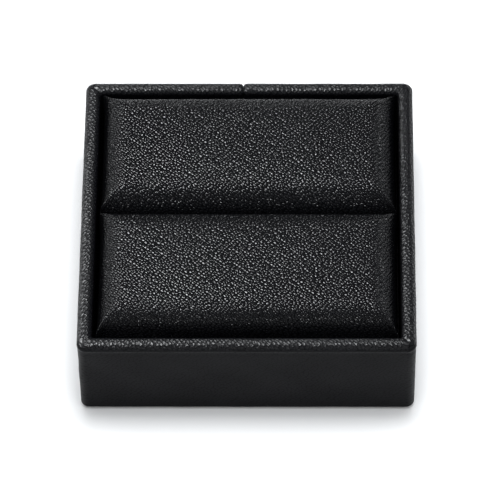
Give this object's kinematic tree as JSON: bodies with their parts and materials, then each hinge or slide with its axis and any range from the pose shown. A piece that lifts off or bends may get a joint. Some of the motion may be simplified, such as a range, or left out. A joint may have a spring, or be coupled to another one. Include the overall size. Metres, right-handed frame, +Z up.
{
  "type": "ring display tray",
  "caption": "Square leatherette-wrapped tray with two padded cushions side by side and a slot between them that grips rings upright.",
  "frame": {"origin": "middle of the underside of the bottom sheet, on the surface that the tray stands on", "axes": "+Z up out of the tray, the front wall at -Y, the ring slot along X"},
  "size_m": [0.08, 0.08, 0.0286],
  "materials": {
    "case_leatherette": "satin",
    "pad_leatherette": "satin",
    "greyboard": "matte",
    "kraft_tape": "matte",
    "velveteen": "matte",
    "foam": "matte"
  },
  "bodies": {
    "case": {"case_wrap": "case_leatherette", "base_panel": "greyboard", "front_wall": "greyboard", "rear_wall": "greyboard", "left_wall": "greyboard", "right_wall": "greyboard", "front_left_stay": "kraft_tape", "front_right_stay": "kraft_tape", "rear_right_stay": "kraft_tape", "rear_left_stay": "kraft_tape", "floor_lining": "velveteen", "base_infill_card": "greyboard", "bottom_sheet": "velveteen"},
    "front_pad": {"front_pad_board": "greyboard", "front_pad_foam": "foam", "front_pad_cover": "pad_leatherette"},
    "rear_pad": {"rear_pad_board": "greyboard", "rear_pad_foam": "foam", "rear_pad_cover": "pad_leatherette"}
  },
  "joints": [
    {"name": "front_pad_lift", "type": "slide", "parent": "case", "child": "front_pad", "axis": [0, 0, 1], "range_m": [0, 0.028]},
    {"name": "rear_pad_lift", "type": "slide", "parent": "case", "child": "rear_pad", "axis": [0, 0, 1], "range_m": [0, 0.028]}
  ]
}
